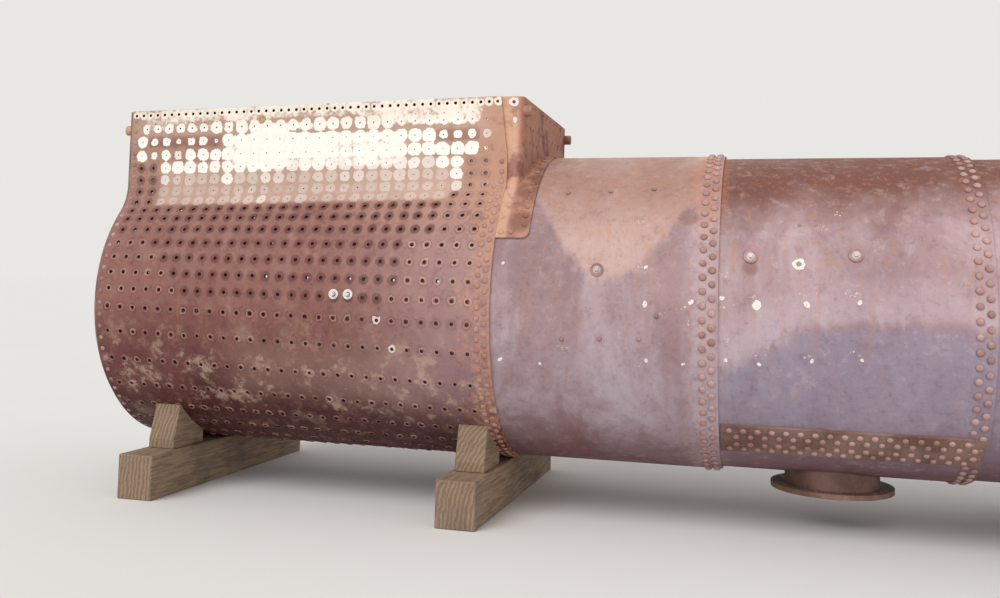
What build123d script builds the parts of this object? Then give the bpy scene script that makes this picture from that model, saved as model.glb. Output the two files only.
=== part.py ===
from build123d import *
from math import asin, cos, degrees, radians, sin, sqrt
import os

# Locomotive-type boiler shell lying upside down: the foundation ring is on top, the crown below.
# Millimetres. +X runs from the firebox's back to the barrel's front, +Z is up from the floor,
# and the barrel's axis lies in the plane Y = 0.

# Firebox wrapper
stay_pitch = 101.6
stay_columns = 27
rear_margin = 95.0
front_margin = 145.0
wrapper_plate = 16.0
side_half_width = 730.0
side_height = 1392.0
ring_fall = 40.0
front_edge_set_back = 52.0
front_edge_slant = 400.0
crown_radius_rear = 1040.0
shoulder_radius_rear = 280.0
shoulder_radius_front = 150.0

# Flanged end sheets
end_plate = 14.0
knuckle_radius = 60.0
backhead_proud = 55.0
backhead_flange = 60.0
throat_reach = 98.0
throat_lap = 85.0
throat_skirt_angle = 24.0
throat_skirt_reach = 215.0
throat_skirt_corner = 45.0

# Foundation ring and its rivet holes
ring_width = 90.0
ring_height = 76.0
ring_corner = 30.0
ring_hole_radius = 11.0
ring_hole_drop = 34.0
ring_hole_first = 34.0
ring_hole_pitch = 59.0
ring_holes_between = 15
end_hole_spread = 472.0

# Fire hole in the backhead
fire_hole_width = 460.0
fire_hole_height = 340.0
fire_hole_drop = 640.0
fire_ring_wall = 28.0
fire_ring_proud = 14.0
fire_ring_depth = 110.0

# Barrel courses, each lapped inside the one behind it
barrel_radius = 1060.0
course_plate = 18.0
course_lap = 125.0
rear_course_length = 1387.0
middle_course_length = 1500.0
front_course_length = 1400.0

# Longitudinal butt straps
strap_plate = 14.0
outer_strap_width = 260.0
inner_strap_width = 380.0
strap_end_gap = 12.0
rear_strap_angle = 28.0
middle_strap_angle = 47.0
front_strap_angle = 20.0

# Front tube sheet and its flue holes
tube_sheet_plate = 16.0
tube_sheet_set_back = 60.0
tube_sheet_flange = 90.0
tube_sheet_knuckle = 40.0
flue_radius = 70.0
flue_pitch = 190.0
flue_rows = 4
flue_columns = 6
flue_top = 150.0

# Steam dome seat under the middle course
dome_bore_radius = 280.0
dome_neck_wall = 20.0
dome_drop = 110.0
dome_flange_radius = 390.0
dome_flange_plate = 32.0
dome_liner_radius = 440.0
dome_from_seam = 700.0

# Washout bosses, plugs and stay sleeves
washout_radius = 40.0
washout_bore = 24.0
washout_height = 9.0
washout_root = 8.0
washout_angles = (13.3, 19.0, 20.0)
washout_from_wrapper = 664.0
washout_from_seam = 183.0
washout_pitch = 587.0
plug_square = 22.0
plug_stand = 16.0
sleeve_radius = 33.0
sleeve_bore = 17.0
sleeve_height = 6.0
sleeve_columns = (17, 18)
sleeve_angle = 3.4
side_plug_from_stays = 970.0
side_plug_drop = 90.0
side_plug_radius = 28.0
side_plug_height = 6.0

# Round lugs on the end sheets, near the foundation ring's corners
corner_lug_radius = 36.0
corner_lug_y = 655.0
throat_lug_stand = 48.0
throat_lug_drop = 92.0
backhead_lug_stand = 34.0
backhead_lug_drop = 130.0

# Timber bearers and chocks
bearer_height = 300.0
bearer_length = 2200.0
bearer_depth = 260.0
bearer_from_rear = (420.0, 2700.0, 6550.0)
chock_near_edge = 430.0
chock_width = 380.0
chock_depth = 200.0
chock_below_axis = 100.0
chock_toe = 60.0
chock_flat_share = 0.25

gap = 0.3
clear = 50.0

# Places worked out from the sizes above
wrapper_length = rear_margin + (stay_columns - 1) * stay_pitch + front_margin
crown_radius_front = barrel_radius + gap + wrapper_plate
overall_length = (
    backhead_lug_stand + backhead_proud + wrapper_length
    + rear_course_length + middle_course_length + front_course_length
)
wrapper_rear = backhead_lug_stand + backhead_proud - overall_length / 2
wrapper_front = wrapper_rear + wrapper_length
seam_1 = wrapper_front + rear_course_length
seam_2 = seam_1 + middle_course_length
barrel_front = seam_2 + front_course_length
axis_height = bearer_height + crown_radius_front
ring_top = axis_height + side_height
middle_radius = barrel_radius - course_plate - gap
front_radius = middle_radius - course_plate - gap
backhead_face = wrapper_rear - backhead_proud
throat_face = wrapper_front + throat_reach
inside_half_width = side_half_width - wrapper_plate
ring_slope = ring_fall / wrapper_length
clear_half = 2 * barrel_radius


def section(x, inset, crown_radius, shoulder_radius, top):
    """Closed firebox section at x: straight sides, ogee shoulders and a round crown below."""
    drop = crown_radius - crown_radius_front
    half = side_half_width - inset
    crown = crown_radius - inset
    shoulder = shoulder_radius + inset
    reach = crown + shoulder
    centre_y = half + shoulder
    centre_z = sqrt(reach ** 2 - centre_y ** 2)
    meet_y = centre_y * crown / reach
    meet_z = centre_z * crown / reach
    turn = asin(centre_z / reach) / 2
    mid_y = centre_y - shoulder * cos(turn)
    mid_z = centre_z - shoulder * sin(turn)

    def point(y, z):
        return Vector(x, y, axis_height + drop + z)

    top_z = top - axis_height - drop
    edges = [
        Line(point(-half, top_z), point(half, top_z)),
        Line(point(half, top_z), point(half, centre_z)),
        ThreePointArc(point(half, centre_z), point(mid_y, mid_z), point(meet_y, meet_z)),
        ThreePointArc(point(meet_y, meet_z), point(0, -crown), point(-meet_y, meet_z)),
        ThreePointArc(point(-meet_y, meet_z), point(-mid_y, mid_z), point(-half, centre_z)),
        Line(point(-half, centre_z), point(-half, top_z)),
    ]
    return Face(Wire(edges))


def rear_section(x, inset, top):
    return section(x, inset, crown_radius_rear, shoulder_radius_rear, top)


def front_section(x, inset, top):
    return section(x, inset, crown_radius_front, shoulder_radius_front, top)


def firebox_body(inset, top):
    """Solid firebox form: straight where the end sheets seat, tapered between them."""
    rear_end = wrapper_rear + backhead_flange
    front_end = wrapper_front - throat_lap
    rear = extrude(rear_section(wrapper_rear, inset, top), backhead_flange, dir=(1, 0, 0))
    front = extrude(front_section(front_end, inset, top), throat_lap, dir=(1, 0, 0))
    taper = Solid.make_loft(
        [rear_section(rear_end, inset, top).outer_wire(), front_section(front_end, inset, top).outer_wire()],
        ruled=True,
    )
    return rear + taper + front


def cylinder_x(x_from, x_to, radius):
    """Round bar along the barrel's axis."""
    return Pos((x_from + x_to) / 2, 0, axis_height) * Rot(0, 90, 0) * Cylinder(radius, x_to - x_from)


def tube_x(x_from, x_to, outer, inner):
    return cylinder_x(x_from, x_to, outer) - cylinder_x(x_from - 1, x_to + 1, inner)


def on_barrel(x, angle, radius, turn=0.0):
    """Frame on the near side of the barrel at an angle above its axis, with +Z outward."""
    y = -radius * cos(radians(angle))
    z = axis_height + radius * sin(radians(angle))
    return Pos(x, y, z) * Rot(90 - angle, 0, 0) * Rot(0, 0, turn)


def mirrored(shape):
    return mirror(shape, about=Plane.XZ)


def box_between(low, high):
    size = [high[i] - low[i] for i in range(3)]
    middle = [(high[i] + low[i]) / 2 for i in range(3)]
    return Pos(*middle) * Box(*size)


def pan(face, depth, inward, radius):
    """Closed form of a flanged sheet: the end face pushed along X, its end edges rounded."""
    body = extrude(face, depth, dir=(inward, 0, 0))
    x_end = face.center().X
    rim = [e for e in body.edges() if all(abs((e @ t).X - x_end) < 0.01 for t in (0, 0.5, 1))]
    return fillet(rim, radius)


def edge_height(x):
    """Height of the foundation ring's top, which falls a little towards the rear."""
    return ring_top - (wrapper_front - x) * ring_slope


def side_prism(outline):
    """Block across the whole boiler with an outline given as (x, z) points."""
    points = [Vector(x, -clear_half, z) for x, z in outline]
    return extrude(Face(Wire.make_polygon(points)), 2 * clear_half, dir=(0, 1, 0))


def layer_under_edge(depth_from, depth_to):
    """Sloping layer between two depths under the ring's top; a negative depth is above it."""
    x_from, x_to = -overall_length, overall_length
    return side_prism([
        (x_from, edge_height(x_from) - depth_to), (x_to, edge_height(x_to) - depth_to),
        (x_to, edge_height(x_to) - depth_from), (x_from, edge_height(x_from) - depth_from),
    ])


# Rivet holes of the foundation ring that carry a mount: four on each side, two in each end.
side_rows = [
    wrapper_rear + ring_hole_first + ring_hole_pitch * (1 + ring_holes_between * n) for n in range(4)
]
end_holes_y = (-end_hole_spread / 2, end_hole_spread / 2)


def ring_holes():
    bars = []
    for x in side_rows:
        z = edge_height(x) - ring_hole_drop
        bars.append(Pos(x, 0, z) * Rot(90, 0, 0) * Cylinder(ring_hole_radius, 4 * side_half_width))
    for y in end_holes_y:
        for x in (backhead_face, throat_face):
            z = edge_height(x) - ring_hole_drop
            bars.append(Pos(x, y, z) * Rot(0, 90, 0) * Cylinder(ring_hole_radius, 6 * ring_width))
    return bars


holes = ring_holes()


def with_ring_holes(shape):
    for bar in holes:
        shape = shape - bar
    return shape


# Forms that the sheets are cut from
above = ring_top + 300.0
wrapper_outer = firebox_body(0, above)
wrapper_inner = firebox_body(wrapper_plate, above)
seat = wrapper_plate + gap
backhead_depth = backhead_flange + backhead_proud
backhead_outer = pan(rear_section(backhead_face, seat, above), backhead_depth, 1, knuckle_radius)
backhead_inner = pan(
    rear_section(backhead_face + end_plate, seat + end_plate, above),
    backhead_depth, 1, knuckle_radius - end_plate,
)
throat_depth = throat_reach + throat_lap
throat_outer = pan(front_section(throat_face, seat, above), throat_depth, -1, knuckle_radius)
throat_inner = pan(
    front_section(throat_face - end_plate, seat + end_plate, above),
    throat_depth, -1, knuckle_radius - end_plate,
)
top_cut = layer_under_edge(-2 * side_height, 0)


def wrapper():
    slant = side_prism([
        (wrapper_front - front_edge_set_back, ring_top), (wrapper_front + clear, ring_top + clear),
        (wrapper_front, ring_top - front_edge_slant),
    ])
    shape = with_ring_holes(wrapper_outer - wrapper_inner - top_cut - slant)
    for place in sleeve_places():
        shape = shape - place * Cylinder(sleeve_bore, 2 * clear)
    return shape


def fire_hole(extra, x_from, x_to):
    """Oval bar through the backhead, larger than the fire hole by extra all round."""
    sketch = SlotOverall(fire_hole_width + 2 * extra, fire_hole_height + 2 * extra)
    place = Plane(origin=(x_from, 0, ring_top - fire_hole_drop), x_dir=(0, 1, 0), z_dir=(1, 0, 0))
    return extrude(place * sketch, x_to - x_from)


def backhead():
    shape = backhead_outer - backhead_inner - top_cut
    shape = shape - fire_hole(gap, backhead_face - clear, backhead_face + clear)
    return with_ring_holes(shape)


def fire_hole_ring():
    x_from = backhead_face - fire_ring_proud
    x_to = x_from + fire_ring_depth
    return fire_hole(0, x_from, x_to) - fire_hole(-fire_ring_wall, x_from - 1, x_to + 1)


def throat_skirt(radius, x_to):
    """Band of the throat sheet that wraps over the barrel, down to the skirt's lower edge."""
    low = axis_height + radius * sin(radians(throat_skirt_angle))
    band = cylinder_x(wrapper_front + gap, x_to, radius)
    keep = box_between((wrapper_front - clear, -clear_half, low), (x_to, clear_half, above))
    corner = keep.edges().filter_by(Axis.Y).group_by(Axis.Z)[0].sort_by(Axis.X)[-1]
    return band & fillet(corner, throat_skirt_corner)


def throat_sheet():
    sheet = throat_outer - throat_inner - top_cut
    skirt_radius = barrel_radius + gap + end_plate
    skirt_end = wrapper_front + throat_skirt_reach
    skirt = throat_skirt(skirt_radius, skirt_end)
    shoulder = box_between(
        (wrapper_front - throat_lap - 1, -clear_half, axis_height), (throat_face + 1, clear_half, above)
    )
    sheet = (sheet & shoulder) + skirt
    return with_ring_holes(sheet - cylinder_x(wrapper_front - throat_lap - clear, skirt_end + 1, barrel_radius + gap))


def mud_ring():
    slab = layer_under_edge(0, ring_height)
    low = axis_height
    middle = box_between(
        (wrapper_rear + backhead_flange, -inside_half_width, low),
        (wrapper_front - throat_lap, inside_half_width, above),
    )
    outer = (middle & slab) + (backhead_inner & slab) + (throat_inner & slab)
    x_from = backhead_face + end_plate + ring_width
    x_to = throat_face - end_plate - ring_width
    half = inside_half_width - ring_width
    opening = box_between((x_from, -half, low), (x_to, half, above))
    opening = fillet(opening.edges().filter_by(Axis.Z), ring_corner)
    return with_ring_holes(outer - opening)


def course(x_from, x_to, radius):
    return tube_x(x_from, x_to, radius, radius - course_plate)


def rear_course():
    shape = course(wrapper_front - throat_lap, seam_1, barrel_radius)
    return with_washouts(shape)


def with_washouts(shape):
    for bar in washout_cuts():
        shape = shape - bar
    return shape


dome_x = seam_1 + dome_from_seam
dome_reach = dome_liner_radius + clear


def dome_bar(radius, z_from, z_to):
    return Pos(dome_x, 0, axis_height + (z_from + z_to) / 2) * Cylinder(radius, z_to - z_from)


def middle_course():
    shape = course(seam_1 - course_lap, seam_2, middle_radius)
    return with_washouts(shape - dome_bar(dome_bore_radius, -middle_radius - 200, 0))


def front_course():
    return course(seam_2 - course_lap, barrel_front, front_radius)


def dome_neck():
    foot = -middle_radius - dome_drop
    neck = dome_bar(dome_bore_radius + dome_neck_wall, foot, -middle_radius / 2)
    flange = dome_bar(dome_flange_radius, foot, foot + dome_flange_plate)
    shape = neck + flange - dome_bar(dome_bore_radius, foot - 1, 0)
    return shape - cylinder_x(dome_x - dome_reach, dome_x + dome_reach, middle_radius + gap)


def dome_liner():
    outer = middle_radius - course_plate - gap
    skin = tube_x(dome_x - dome_reach, dome_x + dome_reach, outer, outer - strap_plate)
    reach = -2 * middle_radius
    return skin & (dome_bar(dome_liner_radius, reach, 0) - dome_bar(dome_bore_radius, reach, 1))


def strap_sector(x_from, x_to, inner, width, angle):
    """Curved strip of a given width round the barrel, centred at an angle from the near side."""
    outer = inner + strap_plate
    skin = tube_x(x_from, x_to, outer, inner)
    half = degrees(width / 2 / outer)
    reach = 2 * outer
    corners = [(0, 0)]
    for turn in (angle - half, angle + half):
        corners.append((-reach * cos(radians(turn)), reach * sin(radians(turn))))
    points = [Vector(x_from - 1, y, axis_height + z) for y, z in corners]
    wedge = extrude(Face(Wire.make_polygon(points)), x_to - x_from + 2, dir=(1, 0, 0))
    return skin & wedge


def course_strap(x_from, x_to, inside_to, radius, angle, far):
    """Outer and inner strips over a course's lengthwise joint, at an angle below the axis."""
    start = x_from + strap_end_gap
    outside = strap_sector(start, x_to - strap_end_gap, radius + gap, outer_strap_width, -angle)
    inner_skin = radius - course_plate - gap - strap_plate
    inside = strap_sector(start, inside_to - strap_end_gap, inner_skin, inner_strap_width, -angle)
    pair = [outside, inside]
    if far:
        pair = [mirrored(part) for part in pair]
    return Compound(children=[s for part in pair for s in part.solids()])


def front_tube_sheet():
    radius = front_radius - course_plate - gap
    x_face = barrel_front - tube_sheet_set_back
    disc = Face(Wire.make_circle(radius, Plane((x_face, 0, axis_height), z_dir=(1, 0, 0))))
    inside = Face(
        Wire.make_circle(radius - tube_sheet_plate, Plane((x_face - tube_sheet_plate, 0, axis_height), z_dir=(1, 0, 0)))
    )
    outer = pan(disc, tube_sheet_flange, -1, tube_sheet_knuckle)
    inner = pan(inside, tube_sheet_flange, -1, tube_sheet_knuckle - tube_sheet_plate)
    sheet = outer - inner
    for row in range(flue_rows):
        shift = (row % 2) * flue_pitch / 2
        z = axis_height + flue_top - row * flue_pitch * sqrt(3) / 2
        for column in range(flue_columns):
            y = (column - (flue_columns - 1) / 2) * flue_pitch + shift - flue_pitch / 4
            bar = Pos(x_face, y, z) * Rot(0, 90, 0) * Cylinder(flue_radius, 4 * tube_sheet_plate)
            sheet = sheet - bar
    return sheet


# Washout bosses: distance from the wrapper's front edge, angle above the axis, course radius
washouts = (
    (washout_from_wrapper, washout_angles[0], barrel_radius),
    (rear_course_length + washout_from_seam, washout_angles[1], middle_radius),
    (rear_course_length + washout_from_seam + washout_pitch, washout_angles[2], middle_radius),
)


def washout_bosses():
    made = []
    for along, angle, radius in washouts:
        place = on_barrel(wrapper_front + along, angle, radius)
        boss = place * Pos(0, 0, (washout_height - washout_root) / 2) * Cylinder(
            washout_radius, washout_height + washout_root
        )
        boss = boss - cylinder_x(wrapper_front, barrel_front, radius + gap)
        made.append(boss - place * Cylinder(washout_bore, 2 * clear))
    return made


def washout_plugs():
    made = []
    for along, angle, radius in washouts:
        place = on_barrel(wrapper_front + along, angle, radius)
        foot = -course_plate / 2
        round_part = Pos(0, 0, foot / 2 + washout_height / 2) * Cylinder(
            washout_bore - gap, washout_height - foot
        )
        square = Pos(0, 0, washout_height + plug_stand / 2) * Box(plug_square, plug_square, plug_stand)
        made.append(place * (round_part + square))
    return made


def washout_cuts():
    """Bores of the washout openings through the barrel plates."""
    cuts = []
    for along, angle, radius in washouts:
        bar = on_barrel(wrapper_front + along, angle, radius) * Cylinder(washout_bore, 2 * clear)
        cuts += [bar, mirrored(bar)]
    return cuts


def on_crown(x, angle):
    """Frame on the near side of the wrapper's crown at an angle above the axis, +Z outward."""
    share = (x - wrapper_rear - backhead_flange) / (wrapper_length - backhead_flange - throat_lap)
    radius = crown_radius_rear + (crown_radius_front - crown_radius_rear) * share
    centre = axis_height + radius - crown_radius_front
    y = -radius * cos(radians(angle))
    z = centre + radius * sin(radians(angle))
    return Pos(x, y, z) * Rot(90 - angle, 0, 0)


def column_x(column):
    return wrapper_rear + rear_margin + column * stay_pitch


def sleeve_places():
    return [on_crown(column_x(column), sleeve_angle) for column in sleeve_columns]


def bright_sleeves():
    made = []
    for place in sleeve_places():
        ring = place * Cylinder(sleeve_radius, 2 * sleeve_height) - wrapper_outer
        made.append(ring - place * Cylinder(sleeve_bore, 2 * clear))
    return Compound(children=[s for part in made for s in part.solids()])


def side_plug():
    x = column_x(0) + side_plug_from_stays
    bar = Pos(x, -side_half_width, edge_height(x) - side_plug_drop) * Rot(90, 0, 0)
    return bar * Pos(0, 0, side_plug_height / 2) * Cylinder(side_plug_radius, side_plug_height)


def near_and_far(parts):
    every = parts + [mirrored(part) for part in parts]
    return Compound(children=[s for part in every for s in part.solids()])


def corner_lug():
    made = []
    for face, body, stand, drop, outward in (
        (throat_face, throat_outer, throat_lug_stand, throat_lug_drop, 1),
        (backhead_face, backhead_outer, backhead_lug_stand, backhead_lug_drop, -1),
    ):
        foot = face - outward * knuckle_radius
        length = stand + knuckle_radius
        middle = foot + outward * length / 2
        z = edge_height(face) - drop
        bar = Pos(middle, -corner_lug_y, z) * Rot(0, 90, 0) * Cylinder(corner_lug_radius, length)
        made.append(bar - body)
    return near_and_far(made)


def radius_below(x):
    """Outside radius of the shell over a bearer."""
    if x < wrapper_front:
        return crown_radius_front
    if x < seam_1:
        return barrel_radius
    return middle_radius if x < seam_2 else front_radius


def bearer(x):
    top = axis_height - radius_below(x)
    return Pos(x, 0, top / 2) * Box(bearer_depth, bearer_length, top)


def chocks(x):
    base = axis_height - radius_below(x)
    low = (x - chock_depth / 2, -chock_near_edge - chock_width, base)
    high = (x + chock_depth / 2, -chock_near_edge, axis_height - chock_below_axis)
    block = box_between(low, high)
    if x < wrapper_front:
        block = block - wrapper_outer
    else:
        block = block - cylinder_x(x - chock_depth, x + chock_depth, radius_below(x))
    ramp_low = base + chock_toe
    points = [
        Vector(x - chock_depth, -chock_near_edge - chock_width - 1, ramp_low),
        Vector(x - chock_depth, -chock_near_edge - chock_width - 1, axis_height),
        Vector(x - chock_depth, -chock_near_edge - chock_width * chock_flat_share, axis_height),
    ]
    block = block - extrude(Face(Wire.make_polygon(points)), 2 * chock_depth, dir=(1, 0, 0))
    return near_and_far([block])


def save(name, shape):
    export_step(shape, os.path.join("parts", name + ".step"))


os.makedirs("parts", exist_ok=True)
save("wrapper", wrapper())
save("backhead", backhead())
save("fire_hole_ring", fire_hole_ring())
save("throat_sheet", throat_sheet())
save("mud_ring", mud_ring())
save("rear_course", rear_course())
save("middle_course", middle_course())
save("front_course", front_course())
save("rear_seam_strap", course_strap(
    wrapper_front, seam_1, seam_1 - course_lap, barrel_radius, rear_strap_angle, True
))
save("middle_seam_strap", course_strap(
    seam_1, seam_2, seam_2 - course_lap, middle_radius, middle_strap_angle, False
))
flange_end = barrel_front - tube_sheet_set_back - tube_sheet_flange
save("front_seam_strap", course_strap(
    seam_2, barrel_front, flange_end, front_radius, front_strap_angle, True
))
save("front_tube_sheet", front_tube_sheet())
save("dome_neck", dome_neck())
save("dome_liner", dome_liner())
save("washout_bosses", near_and_far(washout_bosses()))
save("washout_plugs", near_and_far(washout_plugs()))
save("bright_sleeves", bright_sleeves())
save("side_plug", side_plug())
save("corner_lug", corner_lug())
for name, along in zip(("rear", "middle", "front"), bearer_from_rear):
    save(name + "_bearer", bearer(wrapper_rear + along))
    save(name + "_chocks", chocks(wrapper_rear + along))
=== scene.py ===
"""Looks of the upside-down locomotive boiler: sheets with open stay holes, rivets, rust and timbers."""

import math
import random
from contextlib import contextmanager

import bmesh
import bpy
import numpy as np
from mathutils import Matrix, Vector


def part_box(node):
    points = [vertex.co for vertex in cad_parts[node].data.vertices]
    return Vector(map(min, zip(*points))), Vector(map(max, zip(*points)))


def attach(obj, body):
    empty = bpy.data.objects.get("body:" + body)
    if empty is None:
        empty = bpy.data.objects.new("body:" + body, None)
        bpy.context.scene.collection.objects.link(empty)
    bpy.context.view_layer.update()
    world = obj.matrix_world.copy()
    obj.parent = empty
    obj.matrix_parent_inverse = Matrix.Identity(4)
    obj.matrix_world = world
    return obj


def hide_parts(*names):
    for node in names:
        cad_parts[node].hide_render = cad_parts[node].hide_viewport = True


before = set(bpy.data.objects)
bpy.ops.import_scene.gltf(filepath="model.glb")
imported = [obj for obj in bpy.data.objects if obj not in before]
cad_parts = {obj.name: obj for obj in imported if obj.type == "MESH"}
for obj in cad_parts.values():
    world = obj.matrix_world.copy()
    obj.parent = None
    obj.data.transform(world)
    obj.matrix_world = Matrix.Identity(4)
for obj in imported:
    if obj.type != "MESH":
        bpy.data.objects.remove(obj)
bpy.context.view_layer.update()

# Metres. These sizes are the construction's own; places come from the frame's boxes.
STAY_PITCH = 0.1016
STAY_COLUMNS = 27
REAR_MARGIN = 0.095
WRAPPER_PLATE = 0.016
SIDE_HALF = 0.73
GIRTH_DATUM = 1.385
RING_HEIGHT_FRONT = 1.392
RING_FALL = 0.04
FRONT_EDGE_SET_BACK = 0.052
FRONT_EDGE_SLANT = 0.4
CROWN_REAR = 1.04
CROWN_FRONT = 1.0763
SHOULDER_REAR = 0.28
SHOULDER_FRONT = 0.15
REAR_SEAT = 0.06
FRONT_SEAT = 0.085
RING_HOLE_DROP = 0.034
RING_HOLE_FIRST = 0.034
RING_HOLE_PITCH = 0.059
RING_HOLE_COUNT = 48
RING_HOLE_RADIUS = 0.011
BARREL_RADIUS = 1.06
COURSE_PLATE = 0.018
GAP = 0.0003
SHEET_RISE = 0.0143
MIDDLE_RADIUS = BARREL_RADIUS - COURSE_PLATE - GAP
FRONT_RADIUS = MIDDLE_RADIUS - COURSE_PLATE - GAP

wrapper_low, wrapper_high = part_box("wrapper")
WRAPPER_REAR = wrapper_low[0]
WRAPPER_FRONT = wrapper_high[0]
WRAPPER_LENGTH = WRAPPER_FRONT - WRAPPER_REAR
AXIS_HEIGHT = (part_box("rear_course")[0][2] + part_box("rear_course")[1][2]) / 2
SEAM_1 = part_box("rear_course")[1][0]
SEAM_2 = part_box("middle_course")[1][0]
BARREL_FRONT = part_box("front_course")[1][0]
BACKHEAD_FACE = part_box("backhead")[0][0]
THROAT_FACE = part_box("mud_ring")[1][0] + 0.014
COLUMN_0 = WRAPPER_REAR + REAR_MARGIN


def smooth_step(low, high, value):
    t = min(1, max(0, (value - low) / (high - low)))
    return t * t * (3 - 2 * t)


def linked(name, data):
    """A new object in the scene."""
    item = bpy.data.objects.new(name, data)
    bpy.context.scene.collection.objects.link(item)
    return item


def mesh_piece(name, verts, faces, material, smooth=True):
    """A mesh object that rides on the boiler."""
    mesh = bpy.data.meshes.new(name)
    mesh.from_pydata([tuple(v) for v in verts], [], faces)
    mesh.validate()
    mesh.update()
    piece = linked(name, mesh)
    mesh.materials.append(MATERIALS[material])
    if smooth:
        mesh.polygons.foreach_set("use_smooth", [True] * len(mesh.polygons))
    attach(piece, "root")
    return piece


# Materials: every one is built from noise, with the piece's own attributes where it has them


class Value:
    """A socket of a node tree that can be reckoned with like a number."""

    def __init__(self, nodes, socket):
        self.nodes = nodes
        self.socket = socket

    def __add__(self, other):
        return self.nodes.math("ADD", self, other)

    def __sub__(self, other):
        return self.nodes.math("SUBTRACT", self, other)

    def __mul__(self, other):
        return self.nodes.math("MULTIPLY", self, other)

    def __abs__(self):
        return self.nodes.math("ABSOLUTE", self)

    def ramp(self, low, high, bottom=0, top=1):
        """Goes smoothly from bottom to top while the value goes from low to high."""
        names = ("Value", "From Min", "From Max", "To Min", "To Max")
        settings = zip(names, (self, low, high, bottom, top))
        return self.nodes.add("MapRange", "Result", settings, interpolation_type="SMOOTHSTEP")


class Tree:
    """Short helper for a node tree."""

    def __init__(self, owner):
        owner.use_nodes = True
        self.tree = owner.node_tree

    def set(self, socket, value):
        if isinstance(value, Value):
            self.tree.links.new(value.socket, socket)
        elif isinstance(value, (int, float)):
            socket.default_value = value
        else:
            socket.default_value = tuple(value) + (1,) * (len(socket.default_value) - len(value))

    def add(self, kind, output, inputs=(), **settings):
        node = self.tree.nodes.new("ShaderNode" + kind)
        for key, value in settings.items():
            setattr(node, key, value)
        for key, value in inputs:
            self.set(node.inputs[key], value)
        return Value(self, node.outputs[output])

    def math(self, kind, first, second=0):
        return self.add("Math", 0, ((0, first), (1, second)), operation=kind)


class Nodes(Tree):
    """A material's node tree, whose colour is laid on coat by coat."""

    def __init__(self, name):
        self.material = bpy.data.materials.new(name)
        super().__init__(self.material)
        self.bsdf = self.tree.nodes["Principled BSDF"].inputs
        self.position = self.add("TexCoord", "Object")
        place = self.parts(self.position)
        self.along = place[0]
        self.over = place[2] - AXIS_HEIGHT
        self.colour = None

    def parts(self, value):
        node = self.tree.nodes.new("ShaderNodeSeparateXYZ")
        self.set(node.inputs[0], value)
        return [Value(self, socket) for socket in node.outputs]

    def attribute(self, name):
        return self.parts(self.add("Attribute", "Vector", attribute_name=name))

    def noise(self, scale, detail=4, rough=0.55, stretch=None, distortion=0):
        place = self.position
        if stretch:
            place = self.add("Mapping", "Vector", (("Vector", place), ("Scale", stretch)))
        names = ("Scale", "Detail", "Roughness", "Distortion", "Vector")
        return self.add("TexNoise", "Fac", zip(names, (scale, detail, rough, distortion, place)))

    def mix(self, share, first, second):
        return self.add("Mix", 2, ((0, share), (6, first), (7, second)), data_type="RGBA")

    def coat(self, share, colour):
        """Lays a colour over what is there, as thickly as share says."""
        self.colour = self.mix(share, self.colour, colour)

    def stain(self, place, size, ragged, share, colour):
        """A coat within a ragged round patch about a place."""
        reach = self.add("VectorMath", "Value", ((0, self.position), (1, place)), operation="DISTANCE")
        self.coat((reach + ragged * size).ramp(size * 1.15, size * 1.75, 1, 0) * share, colour)

    def finish(self, rough, bump_height=None, bump_distance=0.001, metallic=0, shine=0.5):
        values = (("Base Color", self.colour), ("Roughness", rough), ("Metallic", metallic))
        for key, value in values + (("Specular IOR Level", shine),):
            self.set(self.bsdf[key], value)
        if bump_height is not None:
            bump = (("Distance", bump_distance), ("Strength", 1), ("Height", bump_height))
            self.set(self.bsdf["Normal"], self.add("Bump", "Normal", bump))
        return self.material


MAUVE = (0.245, 0.108, 0.088)
# Lighter mauve, painted as the light on the upper sheet near the ring.
MAUVE_PAINTED_LIGHT = (0.385, 0.222, 0.166)
# Dark red-brown: real dark rust blotches and bands, and painted shade low on the plates and round the
# throat's corner lugs.
DARK_PATCH_AND_SHADE = (0.14, 0.046, 0.043)
# Near-black maroon for pits, and for the painted shade on the lowest part of the plate.
MAROON = (0.056, 0.011, 0.012)
STAIN = (0.092, 0.022, 0.022)
ORANGE = (0.36, 0.15, 0.075)
LILAC = (0.39, 0.262, 0.275)
BLUISH = (0.42, 0.345, 0.4)
PALE = (0.9, 0.88, 0.83)
CREAM = (0.78, 0.65, 0.5)
# Pinkish tone of the painted sunlight on the upper sheet, also used for a faint dust strip lower down.
PAINTED_SUN_AND_DUST = (0.53, 0.372, 0.3)
RIM = (0.52, 0.3, 0.235)
RUSTY_FRONT = (0.52, 0.3, 0.215)
RUSTY_EDGE = (0.52, 0.26, 0.16)
# Near-black for the bores and each hole's very middle: painted shade inside the holes.
PAINTED_BORE_SHADE = (0.018, 0.01, 0.01)


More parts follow.
